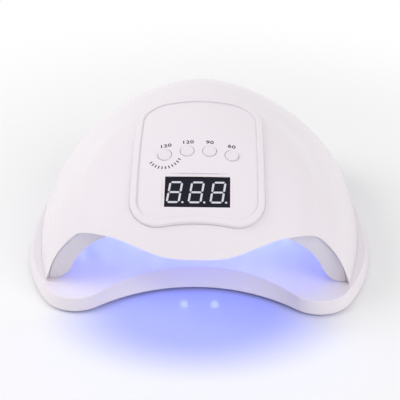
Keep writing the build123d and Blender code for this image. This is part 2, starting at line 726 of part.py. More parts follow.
def led_lens(place):
    """Clear bead: a stem through the hood and a round head, hollow over its emitter."""
    radius = LED_DIAMETER / 2
    length = HOOD_WALL + LED_PROUD - LED_BACK_GAP
    bead = drum(place, LED_DIAMETER, length, -LED_PROUD)
    bead += place * Pos(0, 0, -LED_PROUD) * Sphere(radius)
    bead &= drum(place, LED_DIAMETER, length + radius, -LED_PROUD - radius)
    hollow = EMITTER_HEIGHT + EMITTER_CLEARANCE
    bead -= drum(place, EMITTER_DIAMETER + 2 * EMITTER_CLEARANCE, -hollow - LED_BACK_GAP, HOOD_WALL)
    return bead


def led_lenses():
    return group([led_lens(place) for place in led_places()])


def led_emitters():
    return group([drum(place, EMITTER_DIAMETER, -EMITTER_HEIGHT, HOOD_WALL - LED_BACK_GAP / 2)
                  for place in led_places()])


def sensor_place():
    return hood_place((0.0, SENSOR_Y, LAMP_BASE), (0.0, 0.0, 1.0))


def sensor_window():
    window = drum(sensor_place(), SENSOR_DIAMETER, HOOD_WALL)
    return fillet(window.edges().group_by(Axis.Z)[0], 0.4)


def sensor_board():
    width, depth, height = SENSOR_BOARD_SIZE
    return sensor_place() * Pos(0, 0, HOOD_WALL + LED_BACK_GAP + height / 2) * Box(width, depth, height)


# Control panel and what it carries

def button_places():
    """Place of each button on the panel's face, from left to right."""
    places = []
    for i in range(4):
        across = (i - 1.5) * BUTTON_PITCH
        up = BUTTON_UP_INNER if i in (1, 2) else BUTTON_UP_OUTER
        places.append(tilted(panel_point(across, up, PANEL_PROUD), BUTTON_TILT))
    return places


def height_along(place, point):
    """Height of a point over a place, along the place's Z."""
    return (point - place.origin).dot(place.z_dir)


def button_board_place():
    """Centre of the button board's upper face."""
    centre = tilted(panel_point(0.0, BUTTON_BOARD_UP, PANEL_PROUD), BUTTON_TILT)
    lowest = min(height_along(centre, p.origin) for p in button_places())
    stack = BUTTON_SKIRT + BUTTON_FLANGE + STEM_LENGTH + PLUNGER_PROUD + SWITCH_HEIGHT
    return centre.offset(lowest - stack)


def display_place():
    """Centre of the display's face."""
    return tilted(panel_point(0.0, DISPLAY_UP, 0.0), DISPLAY_TILT).offset(-DISPLAY_RECESS)


def panel_posts():
    """Screw posts under the panel for both boards, with the screw side last."""
    board = button_board_place()
    display = display_place().offset(-DISPLAY_DEPTH)
    posts = [shifted(board, x=side * BUTTON_BOARD_POST_X) for side in (-1, 1)]
    posts += [shifted(display, x=side * DISPLAY_BOARD_POST_X) for side in (-1, 1)]
    return posts


def panel_insert():
    """Thin panel with a rounded bead all round."""
    panel = panel_prism(0.0) & under_panel(BEAD_RISE)
    panel -= panel_prism(BEAD_WIDTH) - under_panel(PANEL_PROUD)
    panel = largest(panel - under_panel(-PANEL_SEAT_DEPTH))
    middle = panel_prism(BEAD_WIDTH / 2)
    for inner, radius in ((False, BEAD_OUTER_ROUND), (True, BEAD_INNER_ROUND)):
        crests = [e for e in panel.edges() if on_skin(e, BEAD_RISE) and middle.is_inside(e @ 0.5) == inner]
        panel = fillet(crests, radius)
    return panel


def control_panel():
    panel = panel_insert()
    for place in panel_posts():
        post = drum(place, POST_DIAMETER, BIG / 10) & under_panel(0.0)
        panel = panel + largest(post) - drum(place, BOARD_SCREW_DIAMETER, BOARD_SCREW_LENGTH - BOARD_THICKNESS)
    for place in button_places():
        hole = BUTTON_DIAMETER + 2 * BUTTON_CLEARANCE
        panel -= drum(place, hole, 2 * BUTTON_SKIRT, -BUTTON_SKIRT)
    face = display_place()
    window = RectangleRounded(*WINDOW_SIZE, WINDOW_CORNER)
    opening = Rectangle(DISPLAY_SIZE[0] + 2 * DISPLAY_CLEARANCE, DISPLAY_SIZE[1] + 2 * DISPLAY_CLEARANCE)
    panel -= extrude(face.offset(DISPLAY_RECESS + PANEL_PROUD - WINDOW_STEP) * window, BIG / 30)
    panel -= extrude(face * opening, BIG / 30, both=True)
    return largest(panel)


def button_cap(place):
    """Cap with a retaining flange and a stem down to its switch."""
    cap = drum(place, BUTTON_DIAMETER, BUTTON_SKIRT + BUTTON_PROUD, -BUTTON_SKIRT)
    top = cap.edges().sort_by(lambda e: height_along(place, e.center()))[-1]
    cap = fillet(top, BUTTON_EDGE)
    flange = BUTTON_DIAMETER + 2 * BUTTON_FLANGE_STEP
    cap += drum(place, flange, -BUTTON_FLANGE, -BUTTON_SKIRT)
    start = -BUTTON_SKIRT - BUTTON_FLANGE
    end = plunger_top(place)
    return largest(cap + drum(place, STEM_DIAMETER, end - start, start))


def plunger_top(place):
    """Height of the plunger's top over a button's place."""
    return height_along(place, button_board_place().origin) + SWITCH_HEIGHT + PLUNGER_PROUD


def switch_plunger(place):
    return drum(place, PLUNGER_DIAMETER, -PLUNGER_PROUD - PLUNGER_DEPTH, plunger_top(place))


def tact_switches():
    switches = []
    for place in button_places():
        top = plunger_top(place) - PLUNGER_PROUD
        body = place * Pos(0, 0, top - SWITCH_HEIGHT / 2) * Box(SWITCH_SIZE, SWITCH_SIZE, SWITCH_HEIGHT)
        depth = PLUNGER_DEPTH + BUTTON_TRAVEL + PLUNGER_CLEARANCE
        body -= drum(place, PLUNGER_DIAMETER + 2 * PLUNGER_CLEARANCE, -depth, top)
        switches.append(body)
    return group(switches)


def screwed_board(place, size, post_x):
    """Flat board under a place, with a screw hole at each end."""
    board = extrude(place * RectangleRounded(*size, 1.5), -BOARD_THICKNESS)
    for side in (-1, 1):
        board -= drum(place * Pos(side * post_x, 0, 0), BOARD_SCREW_DIAMETER, -BOARD_THICKNESS)
    return largest(board)


def button_board():
    return screwed_board(button_board_place(), BUTTON_BOARD_SIZE, BUTTON_BOARD_POST_X)


def display_board():
    return screwed_board(display_place().offset(-DISPLAY_DEPTH), DISPLAY_BOARD_SIZE, DISPLAY_BOARD_POST_X)


def segment_shapes():
    """Lit bars and dots of the digits, on the display's face."""
    half = DIGIT_STROKE / 2
    tall = (DIGIT_HEIGHT - DIGIT_STROKE) / 2
    wide = DIGIT_WIDTH - DIGIT_STROKE
    lean = tan(radians(DIGIT_SLANT))

    def bar(x, y, length, upright):
        reach = length / 2 - SEGMENT_GAP
        outline = [(-reach, 0), (half - reach, half), (reach - half, half),
                   (reach, 0), (reach - half, -half), (half - reach, -half)]
        if upright:
            outline = [(b, a) for a, b in outline]
        leant = [(x + a + lean * (y + b), y + b) for a, b in outline]
        return make_face(Polyline(leant, close=True))

    shapes = []
    for i in range(DIGIT_COUNT):
        x = (i - (DIGIT_COUNT - 1) / 2) * DIGIT_PITCH - DOT_DIAMETER / 2
        shapes += [bar(x, y, wide, False) for y in (-tall, 0, tall)]
        shapes += [bar(x + dx, y, tall, True) for dx in (-wide / 2, wide / 2) for y in (-tall / 2, tall / 2)]
        dot_x = x + DIGIT_WIDTH / 2 + DOT_DIAMETER * 0.55
        shapes.append(Pos(dot_x, -tall) * Circle(DOT_DIAMETER / 2))
    return shapes


def display_segments():
    face = display_place()
    return group([extrude(face * shape, -SEGMENT_DEPTH) for shape in segment_shapes()])


def display_module():
    face = display_place()
    body = extrude(face * Rectangle(*DISPLAY_SIZE), -DISPLAY_DEPTH)
    for shape in segment_shapes():
        body -= extrude(face * shape, -SEGMENT_DEPTH)
    return largest(body)


def board_screw(place):
    """Pan-head screw whose head stands on the place and whose shank runs down."""
    head = drum(place, BOARD_SCREW_HEAD, BOARD_SCREW_HEAD_HEIGHT)
    rim = head.edges().sort_by(lambda e: height_along(place, e.center()))[-1]
    head = fillet(rim, BOARD_SCREW_HEAD_HEIGHT / 3)
    screw = head + drum(place, BOARD_SCREW_DIAMETER, -BOARD_SCREW_LENGTH)
    slot = cross_slot(place, BOARD_SCREW_HEAD, BOARD_SCREW_HEAD_HEIGHT / 2)
    return screw - Pos(*(place.z_dir * (BOARD_SCREW_HEAD_HEIGHT / 2))) * slot


def panel_board_screws():
    screws = []
    for place in panel_posts():
        back = place.offset(-BOARD_THICKNESS)
        screws.append(board_screw(Plane(back.origin, x_dir=back.x_dir, z_dir=-back.z_dir)))
    return group(screws)


# Power board, sensor, inlet and wires

def main_board_plane():
    return Plane((0, MAIN_BOARD_Y, LAMP_BASE + MAIN_BOARD_HEIGHT))


def main_board():
    place = main_board_plane()
    board = extrude(place * RectangleRounded(*MAIN_BOARD_SIZE, 2.0), BOARD_THICKNESS)
    for x, y in main_post_places():
        board -= drum(Pos(x, y, place.origin.Z), BOARD_SCREW_DIAMETER, BOARD_THICKNESS)
    return largest(board)


def main_board_screws():
    z = LAMP_BASE + MAIN_BOARD_HEIGHT + BOARD_THICKNESS
    return group([board_screw(Plane((x, y, z))) for x, y in main_post_places()])


def main_board_parts():
    """Coil, two capacitors, a driver chip and a row of transistors on the power board."""
    top = LAMP_BASE + MAIN_BOARD_HEIGHT + BOARD_THICKNESS
    coil = drum(Pos(-14, MAIN_BOARD_Y + 2, top), 12.0, 6.0)
    coil -= drum(Pos(-14, MAIN_BOARD_Y + 2, top + 2), 4.0, 4.0)
    parts = [coil]
    for y in (-10.0, 10.0):
        can = drum(Pos(16, MAIN_BOARD_Y + y, top), 8.0, 8.0)
        parts.append(fillet(can.edges().group_by(Axis.Z)[-1], 0.6))
    parts.append(Pos(2, MAIN_BOARD_Y - 8, top + 1) * Box(10, 6, 2))
    for i in range(3):
        parts.append(Pos(-4 + 8 * i, MAIN_BOARD_Y + 18, top + 1.2) * Box(6, 5, 2.4))
    return group(parts)


def power_socket():
    """Barrel inlet with a round bore for a coaxial plug."""
    face = inlet_place(INLET_FACE_Y)
    socket = drum(face, INLET_BARREL_DIAMETER, -INLET_STEP)
    body = RectangleRounded(INLET_BODY, INLET_BODY, 1.0)
    socket += extrude(face.offset(-INLET_STEP) * body, INLET_STEP - INLET_LENGTH)
    return largest(socket - drum(face, INLET_BORE, -INLET_BORE_DEPTH))


def socket_pin():
    face = inlet_place(INLET_FACE_Y).offset(-INLET_BORE_DEPTH)
    return drum(face, INLET_PIN_DIAMETER, INLET_PIN_LENGTH)


def wire(points, radii):
    path = FilletPolyline(*points, radius=radii)
    return sweep(Plane(path @ 0, z_dir=path % 0) * Circle(WIRE_DIAMETER / 2), path)


def power_lead():
    """Wire pair from the inlet up to the power board's rear edge."""
    start = INLET_FACE_Y - INLET_LENGTH
    z = LAMP_BASE + INLET_HEIGHT
    board = LAMP_BASE + MAIN_BOARD_HEIGHT + BOARD_THICKNESS + WIRE_DIAMETER / 2
    rear = MAIN_BOARD_Y + MAIN_BOARD_SIZE[1] / 2
    return wire([(0, start, z), (0, start - 3.5, z), (0, start - 5.5, z + 14), (0, rear + 22, board),
                 (0, rear - 1.5, board)], [1.2, 6.0, 7.0])


NODES = {
    "base_tray": base_tray,
    "tray_cover": tray_cover,
    "tray_feet": tray_feet,
    "tray_screws": tray_screws,
    "tray_magnets": tray_magnets,
    "outer_shell": outer_shell,
    "inner_hood": inner_hood,
    "housing_magnets": housing_magnets,
    "housing_screws": housing_screws,
    "control_panel": control_panel,
    "button_board": button_board,
    "tact_switches": tact_switches,
    "display_module": display_module,
    "display_segments": display_segments,
    "display_board": display_board,
    "panel_board_screws": panel_board_screws,
    "led_lenses": led_lenses,
    "led_emitters": led_emitters,
    "sensor_window": sensor_window,
    "sensor_board": sensor_board,
    "main_board": main_board,
    "main_board_parts": main_board_parts,
    "main_board_screws": main_board_screws,
    "power_socket": power_socket,
    "socket_pin": socket_pin,
    "power_lead": power_lead,
}


def to_middle():
    """Move that puts the origin under the middle of the whole lamp."""
    height = LAMP_BASE + VISOR_EDGE_CENTRE
    tip = march(skin_field, (0.0, 0.0, height), [0.0, -1.0, 0.0], 5.0, BIG, 0.0)
    return Pos(0, -(TRAY_REAR_Y + tip[1]) / 2, 0)


def build():
    move = to_middle()
    for name, make in NODES.items():
        export_step(move * make(), f"parts/{name}.step")
    for name, y in zip(STRIP_NAMES, STRIP_YS):
        export_step(move * led_strip(y), f"parts/{name}.step")
    for i, place in enumerate(button_places(), start=1):
        export_step(move * button_cap(place), f"parts/button_cap_{i}.step")
        export_step(move * switch_plunger(place), f"parts/switch_plunger_{i}.step")


build()
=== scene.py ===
import json
from math import cos, radians, sin

import bmesh
import bpy
from mathutils import Matrix, Vector
from mathutils.bvhtree import BVHTree


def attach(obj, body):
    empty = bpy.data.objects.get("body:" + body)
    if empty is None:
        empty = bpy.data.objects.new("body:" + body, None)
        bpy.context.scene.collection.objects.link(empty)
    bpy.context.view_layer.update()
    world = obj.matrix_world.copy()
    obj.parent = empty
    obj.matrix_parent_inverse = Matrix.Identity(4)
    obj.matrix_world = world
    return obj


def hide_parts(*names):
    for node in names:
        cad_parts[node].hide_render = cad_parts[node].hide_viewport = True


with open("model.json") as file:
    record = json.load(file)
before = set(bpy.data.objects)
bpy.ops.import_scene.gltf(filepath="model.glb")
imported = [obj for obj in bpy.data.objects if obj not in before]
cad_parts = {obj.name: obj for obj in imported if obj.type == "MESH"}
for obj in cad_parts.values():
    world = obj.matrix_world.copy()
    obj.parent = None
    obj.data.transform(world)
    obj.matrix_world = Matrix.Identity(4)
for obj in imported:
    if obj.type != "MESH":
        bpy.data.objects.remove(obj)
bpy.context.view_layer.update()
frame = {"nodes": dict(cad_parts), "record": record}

MM = 0.001

# The middle of the whole lamp lies this far behind the middle of the dome's own drawing
FRAME_SHIFT = Vector((0, -1.67 * MM, 0))

# Camera
CAMERA_TARGET = Vector((0.38, -18.84, 32.0)) * MM
CAMERA_DISTANCE = 532 * MM
CAMERA_ELEVATION = 32.74
CAMERA_AZIMUTH = 1.34
CAMERA_ROLL = -0.04
CAMERA_LENS = 72.54

# The panel's own plane
PANEL_ORIGIN = Vector((0, -45.0, 79.0)) * MM + FRAME_SHIFT
PANEL_TILT = radians(65.5)
PRINT_HEIGHT = 0.06 * MM
PRINT_DEPTH = 0.05 * MM
PROBE_HEIGHT = 20 * MM

# Printed numbers: text, place across and up the panel in mm, turn in degrees
NUMBERS = (("120", -19.9, 8.6, 9.0), ("120", -6.5, 11.0, 3.0), ("90", 6.8, 11.0, -3.0), ("60", 20.0, 8.6, -9.0))
NUMBER_SIZE = 3.5 * MM
NUMBER_WEIGHT = 0.05 * MM
NUMBER_STRETCH = 1.3

# Curved scale of ticks around the left button
SCALE_CENTRE = (-20.1, 1.6)
SCALE_RADIUS = 9.6 * MM
SCALE_START = 213.0
SCALE_END = 338.0
SCALE_TICKS = 11
TICK_LENGTH = 1.9 * MM
TICK_WIDTH = 0.6 * MM

# Light of the hood, and a pool of its light painted into the table's colour in front
BLUE = (0.10, 0.19, 1.0)
PAINTED_GLOW_COLOUR = (0.475, 0.515, 0.965)
PAINTED_GLOW_CENTRE = (0, -0.094)
PAINTED_GLOW_REACH = (0.084, 0.052)
PAINTED_GLOW_EDGE = (0.45, 1.2)
FLOOR_COLOUR = (0.95, 0.945, 0.955)
# The floor turns plain white between these distances from the lamp
FLOOR_CLEAR = 0.13
FLOOR_BRIGHT = 0.42
FLOOR_SIZE = 3.0
SKY_LEVEL = 0.58

# Soft lamps: place, side in metres and power in watts, all aimed at the middle of the shell
AIM = (0, 0, 0.03)
SOFTBOXES = {"key": ((-1.05, 0.0, 0.90), 0.7, 7.4), "fill": ((0.85, -0.60, 0.7), 1.0, 5.2)}
HOOD_LIGHT_PLACE = (0, -0.012, 0.046)
HOOD_LIGHT_SIZE = (0.12, 0.07)
HOOD_LIGHT_POWER = 0.055

# Features per metre of the patterns in the materials
FLOW_GRAIN = 14.0
GLOSS_GRAIN = 55.0
SKIN_GRAIN = 900.0
BRUSH_GRAIN = 300.0
METAL_GRAIN = 600.0
GLOW_GRAIN = 400.0
TRACE_GRAIN = 220.0

# How far roughness strays from its mean, how wide a trace is in its cell, and the gloss coat
GLOSS_SPREAD = 0.05
METAL_SPREAD = 0.3
TRACE_WIDTH = 0.06
COAT_ROUGH = 0.2


# Node helpers

def new_material(name):
    material = bpy.data.materials.new(name)
    material.use_nodes = True
    tree = material.node_tree
    tree.nodes.clear()
    output = tree.nodes.new("ShaderNodeOutputMaterial")
    shader = tree.nodes.new("ShaderNodeBsdfPrincipled")
    tree.links.new(shader.outputs["BSDF"], output.inputs["Surface"])
    return material, tree, shader


def noise(tree, scale, detail=2.0, roughness=0.5):
    """Noise over the object's own coordinates, with the scale in features per metre."""
    place = tree.nodes.new("ShaderNodeTexCoord")
    texture = tree.nodes.new("ShaderNodeTexNoise")
    texture.inputs["Scale"].default_value = scale
    texture.inputs["Detail"].default_value = detail
    texture.inputs["Roughness"].default_value = roughness
    tree.links.new(place.outputs["Object"], texture.inputs["Vector"])
    return texture.outputs["Fac"]


def between(tree, factor, low, high):
    """A value that follows the factor from low to high."""
    node = tree.nodes.new("ShaderNodeMapRange")
    node.inputs["From Min"].default_value = 0.25
    node.inputs["From Max"].default_value = 0.75
    node.inputs["To Min"].default_value = low
    node.inputs["To Max"].default_value = high
    tree.links.new(factor, node.inputs["Value"])
    return node.outputs["Result"]


def tinted(tree, factor, low, high):
    """A colour that follows the factor from low to high."""
    node = tree.nodes.new("ShaderNodeMix")
    node.data_type = "RGBA"
    node.inputs["A"].default_value = (*low, 1)
    node.inputs["B"].default_value = (*high, 1)
    tree.links.new(between(tree, factor, 0, 1), node.inputs["Factor"])
    return node.outputs["Result"]


def bumped(tree, shader, height, depth, strength):
    node = tree.nodes.new("ShaderNodeBump")
    node.inputs["Distance"].default_value = depth
    node.inputs["Strength"].default_value = strength
    tree.links.new(height, node.inputs["Height"])
    tree.links.new(node.outputs["Normal"], shader.inputs["Normal"])


def moulded(name, colour, rough, shift=0.008, coat=0.0, shine=0.5, grain_depth=0.02, grain_strength=0.05):
    """Moulded plastic: faint flow tint, uneven gloss and a fine skin texture."""
    material, tree, shader = new_material(name)
    darker = tuple(max(c - shift, 0) for c in colour)
    tree.links.new(tinted(tree, noise(tree, FLOW_GRAIN), darker, colour), shader.inputs["Base Color"])
    gloss = noise(tree, GLOSS_GRAIN, 3.0)
    low, high = rough * (1 - GLOSS_SPREAD), rough * (1 + GLOSS_SPREAD)
    tree.links.new(between(tree, gloss, low, high), shader.inputs["Roughness"])
    bumped(tree, shader, noise(tree, SKIN_GRAIN), grain_depth * MM, grain_strength)
    shader.inputs["Coat Weight"].default_value = coat
    shader.inputs["Coat Roughness"].default_value = COAT_ROUGH
    shader.inputs["Specular IOR Level"].default_value = shine
    return material


def metal(name, colour, rough):
    material, tree, shader = new_material(name)
    darker = tuple(c * 0.8 for c in colour)
    tree.links.new(tinted(tree, noise(tree, METAL_GRAIN, 4.0), darker, colour), shader.inputs["Base Color"])
    low, high = rough * (1 - METAL_SPREAD), rough * (1 + METAL_SPREAD)
    tree.links.new(between(tree, noise(tree, BRUSH_GRAIN), low, high), shader.inputs["Roughness"])
    shader.inputs["Metallic"].default_value = 1.0
    return material


def lit(name, colour, glow, strength, rough=0.3):
    """Plastic that gives off light, a little unevenly."""
    material, tree, shader = new_material(name)
    darker = tuple(c * 0.9 for c in colour)
    tree.links.new(tinted(tree, noise(tree, GLOW_GRAIN), darker, colour), shader.inputs["Base Color"])
    shader.inputs["Roughness"].default_value = rough
    shader.inputs["Emission Color"].default_value = (*glow, 1)
    shader.inputs["Emission Strength"].default_value = strength
    return material


def circuit_board(name, base, trace):
    """Solder resist with copper traces showing through as a lighter tone."""
    material, tree, shader = new_material(name)
    place = tree.nodes.new("ShaderNodeTexCoord")
    cells = tree.nodes.new("ShaderNodeTexVoronoi")
    cells.distance = "MANHATTAN"
    cells.feature = "DISTANCE_TO_EDGE"
    cells.inputs["Scale"].default_value = TRACE_GRAIN
    tree.links.new(place.outputs["Object"], cells.inputs["Vector"])
    edge = tree.nodes.new("ShaderNodeMath")
    edge.operation = "LESS_THAN"
    edge.inputs[1].default_value = TRACE_WIDTH
    tree.links.new(cells.outputs["Distance"], edge.inputs[0])
    tree.links.new(tinted(tree, edge.outputs["Value"], base, trace), shader.inputs["Base Color"])
    shader.inputs["Roughness"].default_value = 0.35
    return material


# Materials

SHELL_WHITE = moulded("shell_white", (0.86, 0.80, 0.85), 0.26, coat=0.4)
TRAY_WHITE = moulded("tray_white", (0.88, 0.825, 0.875), 0.3, coat=0.2)
COVER_WHITE = moulded("cover_white", (0.72, 0.71, 0.74), 0.55, grain_strength=0.25)
# The hood is the shell's white plastic, given a darker colour as painted shade
HOOD_SHADED_WHITE = moulded("hood_grey", (0.80, 0.76, 0.81), 0.34)
PANEL_WHITE = moulded("panel_white", (0.86, 0.80, 0.85), 0.26, coat=0.4)
BUTTON_WHITE = moulded("button_white", (0.84, 0.785, 0.83), 0.32, coat=0.1)
PRINT_GREY = moulded("print_grey", (0.022, 0.020, 0.026), 0.6, shift=0.004, shine=0.3)
BLACK_PLASTIC = moulded("black_plastic", (0.02, 0.02, 0.022), 0.4, shift=0.005, grain_strength=0.2)
DISPLAY_BLACK = moulded("display_black", (0.004, 0.004, 0.012), 0.5, shift=0.002, shine=0.25)
SEGMENT_WHITE = lit("segment_white", (0.62, 0.62, 0.68), (0.78, 0.82, 0.9), 0.12)
RUBBER = moulded("rubber", (0.05, 0.05, 0.052), 0.75, shift=0.012, grain_depth=0.05, grain_strength=0.5)
STEEL = metal("screw_steel", (0.62, 0.61, 0.6), 0.3)
NICKEL = metal("magnet_nickel", (0.7, 0.69, 0.68), 0.18)
BRASS = metal("pin_brass", (0.75, 0.6, 0.3), 0.25)
SWITCH_METAL = metal("switch_metal", (0.6, 0.6, 0.62), 0.35)
BOARD_GREEN = circuit_board("board_green", (0.01, 0.12, 0.045), (0.03, 0.22, 0.09))
BOARD_WHITE = circuit_board("board_white", (0.78, 0.78, 0.8), (0.68, 0.68, 0.7))
LENS_LIT = lit("lens_lit", (0.75, 0.76, 1.0), (0.40, 0.50, 1.0), 12.0)
EMITTER_LIT = lit("emitter_lit", (0.9, 0.85, 0.5), (0.5, 0.5, 1.0), 6.0)
SENSOR_DARK = moulded("sensor_dark", (0.03, 0.012, 0.03), 0.1, shift=0.004)
WIRE_RED = moulded("wire_red", (0.35, 0.02, 0.02), 0.45)

NODE_MATERIALS = {
    "base_tray": TRAY_WHITE,
    "tray_cover": COVER_WHITE,
    "tray_feet": RUBBER,
    "tray_screws": STEEL,
    "tray_magnets": NICKEL,
    "outer_shell": SHELL_WHITE,
    "inner_hood": HOOD_SHADED_WHITE,
    "housing_magnets": NICKEL,
    "housing_screws": STEEL,
    "control_panel": PANEL_WHITE,
    "button_board": BOARD_GREEN,
    "tact_switches": SWITCH_METAL,
    "display_module": DISPLAY_BLACK,
    "display_segments": SEGMENT_WHITE,
    "display_board": BOARD_GREEN,
    "panel_board_screws": STEEL,
    "led_strip_front": BOARD_WHITE,
    "led_strip_middle": BOARD_WHITE,
    "led_strip_rear": BOARD_WHITE,
    "led_lenses": LENS_LIT,
    "led_emitters": EMITTER_LIT,
    "sensor_window": SENSOR_DARK,
    "sensor_board": BOARD_GREEN,
    "main_board": BOARD_GREEN,
    "main_board_parts": BLACK_PLASTIC,
    "main_board_screws": STEEL,
    "power_socket": BLACK_PLASTIC,
    "socket_pin": BRASS,
    "power_lead": WIRE_RED,
}
for number in range(1, 5):
    NODE_MATERIALS[f"button_cap_{number}"] = BUTTON_WHITE
    NODE_MATERIALS[f"switch_plunger_{number}"] = BLACK_PLASTIC

# Curved pieces get smooth shading from a merged copy, the rest keep the frame's own mesh
SMOOTHED = ["base_tray", "outer_shell", "inner_hood", "control_panel", "led_lenses", "power_lead", "tray_feet",
            "sensor_window", "power_socket", "led_strip_front", "led_strip_middle", "led_strip_rear"]
SMOOTHED += [f"button_cap_{number}" for number in range(1, 5)]
SHARP_ANGLE = radians(28)


# Pieces

def body_of(node):
    for body, nodes in frame["record"]["behaviour"]["bodies"].items():
        if node in nodes:
            return body


def add_piece(name, mesh, material):
    piece = bpy.data.objects.new(name, mesh)
    bpy.context.scene.collection.objects.link(piece)
    mesh.materials.clear()
    mesh.materials.append(material)
    return piece


def smoothed_copy(node, material):
    """The node's mesh with its doubles merged and its curved faces shaded smooth."""
    form = bmesh.new()
    form.from_mesh(frame["nodes"][node].data)
    bmesh.ops.remove_doubles(form, verts=form.verts, dist=0.0005 * MM)
    for face in form.faces:
        face.smooth = True
    for edge in form.edges:
        edge.smooth = len(edge.link_faces) == 2 and edge.calc_face_angle(0) < SHARP_ANGLE
    mesh = bpy.data.meshes.new(node + "_smooth")
    form.to_mesh(mesh)
    form.free()
    piece = add_piece(node + "_smooth", mesh, material)
    weigh = piece.modifiers.new("weigh", "WEIGHTED_NORMAL")
    weigh.keep_sharp = True
    weigh.weight = 50
    apply_modifiers(piece)
    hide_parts(node)
    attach(piece, body_of(node))


def apply_modifiers(piece):
    depsgraph = bpy.context.evaluated_depsgraph_get()
    mesh = bpy.data.meshes.new_from_object(piece.evaluated_get(depsgraph), depsgraph=depsgraph)
    piece.modifiers.clear()
    old = piece.data
    piece.data = mesh
    if old.users == 0 and isinstance(old, bpy.types.Mesh):
        bpy.data.meshes.remove(old)


def dress_nodes():
    for node, material in NODE_MATERIALS.items():
        if node in SMOOTHED:
            smoothed_copy(node, material)
        else:
            mesh = frame["nodes"][node].data
            mesh.materials.clear()
            mesh.materials.append(material)


# Print on the panel

PANEL_UP = Vector((0, sin(PANEL_TILT), cos(PANEL_TILT)))
PANEL_OUT = Vector((0, -cos(PANEL_TILT), sin(PANEL_TILT)))


def panel_surface():
    form = bmesh.new()
    form.from_mesh(frame["nodes"]["control_panel"].data)
    tree = BVHTree.FromBMesh(form)
    form.free()
    return tree


def laid_on_panel(meshes, name):
    """Flat print, drawn across and up the panel, laid on its curved face with a little thickness."""
    surface = panel_surface()
    form = bmesh.new()
    for mesh in meshes:
        form.from_mesh(mesh)
        bpy.data.meshes.remove(mesh)
    bmesh.ops.remove_doubles(form, verts=form.verts, dist=0.001 * MM)
    bmesh.ops.triangulate(form, faces=form.faces)
    for vertex in form.verts:
        across, up, _ = vertex.co
        start = PANEL_ORIGIN + Vector((across, 0, 0)) + PANEL_UP * up + PANEL_OUT * PROBE_HEIGHT
        point = surface.ray_cast(start, -PANEL_OUT)[0]
        vertex.co = point + PANEL_OUT * PRINT_HEIGHT
    top = form.faces[:]
    sunk = bmesh.ops.extrude_face_region(form, geom=top)
    for vertex in [v for v in sunk["geom"] if isinstance(v, bmesh.types.BMVert)]:
        vertex.co += PANEL_OUT * PRINT_HEIGHT * 0.5
    for vertex in {v for face in top for v in face.verts}:
        vertex.co -= PANEL_OUT * PRINT_DEPTH
    bmesh.ops.recalc_face_normals(form, faces=form.faces)
    mesh = bpy.data.meshes.new(name)
    form.to_mesh(mesh)
    form.free()
    piece = add_piece(name, mesh, PRINT_GREY)
    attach(piece, "lamp")


def number_mesh(text, across, up, turn):
    curve = bpy.data.curves.new("number", "FONT")
    curve.body = text
    curve.size = NUMBER_SIZE
    curve.align_x = "CENTER"
    curve.align_y = "CENTER"
    curve.space_character = 1.1
    curve.offset = NUMBER_WEIGHT
    writing = bpy.data.objects.new("number", curve)
    bpy.context.scene.collection.objects.link(writing)
    depsgraph = bpy.context.evaluated_depsgraph_get()
    mesh = bpy.data.meshes.new_from_object(writing.evaluated_get(depsgraph), depsgraph=depsgraph)
    bpy.data.objects.remove(writing)
    bpy.data.curves.remove(curve)
    wide = Matrix.Diagonal((NUMBER_STRETCH, 1, 1, 1))
    mesh.transform(Matrix.Translation((across * MM, up * MM, 0)) @ Matrix.Rotation(radians(turn), 4, "Z") @ wide)
    return mesh


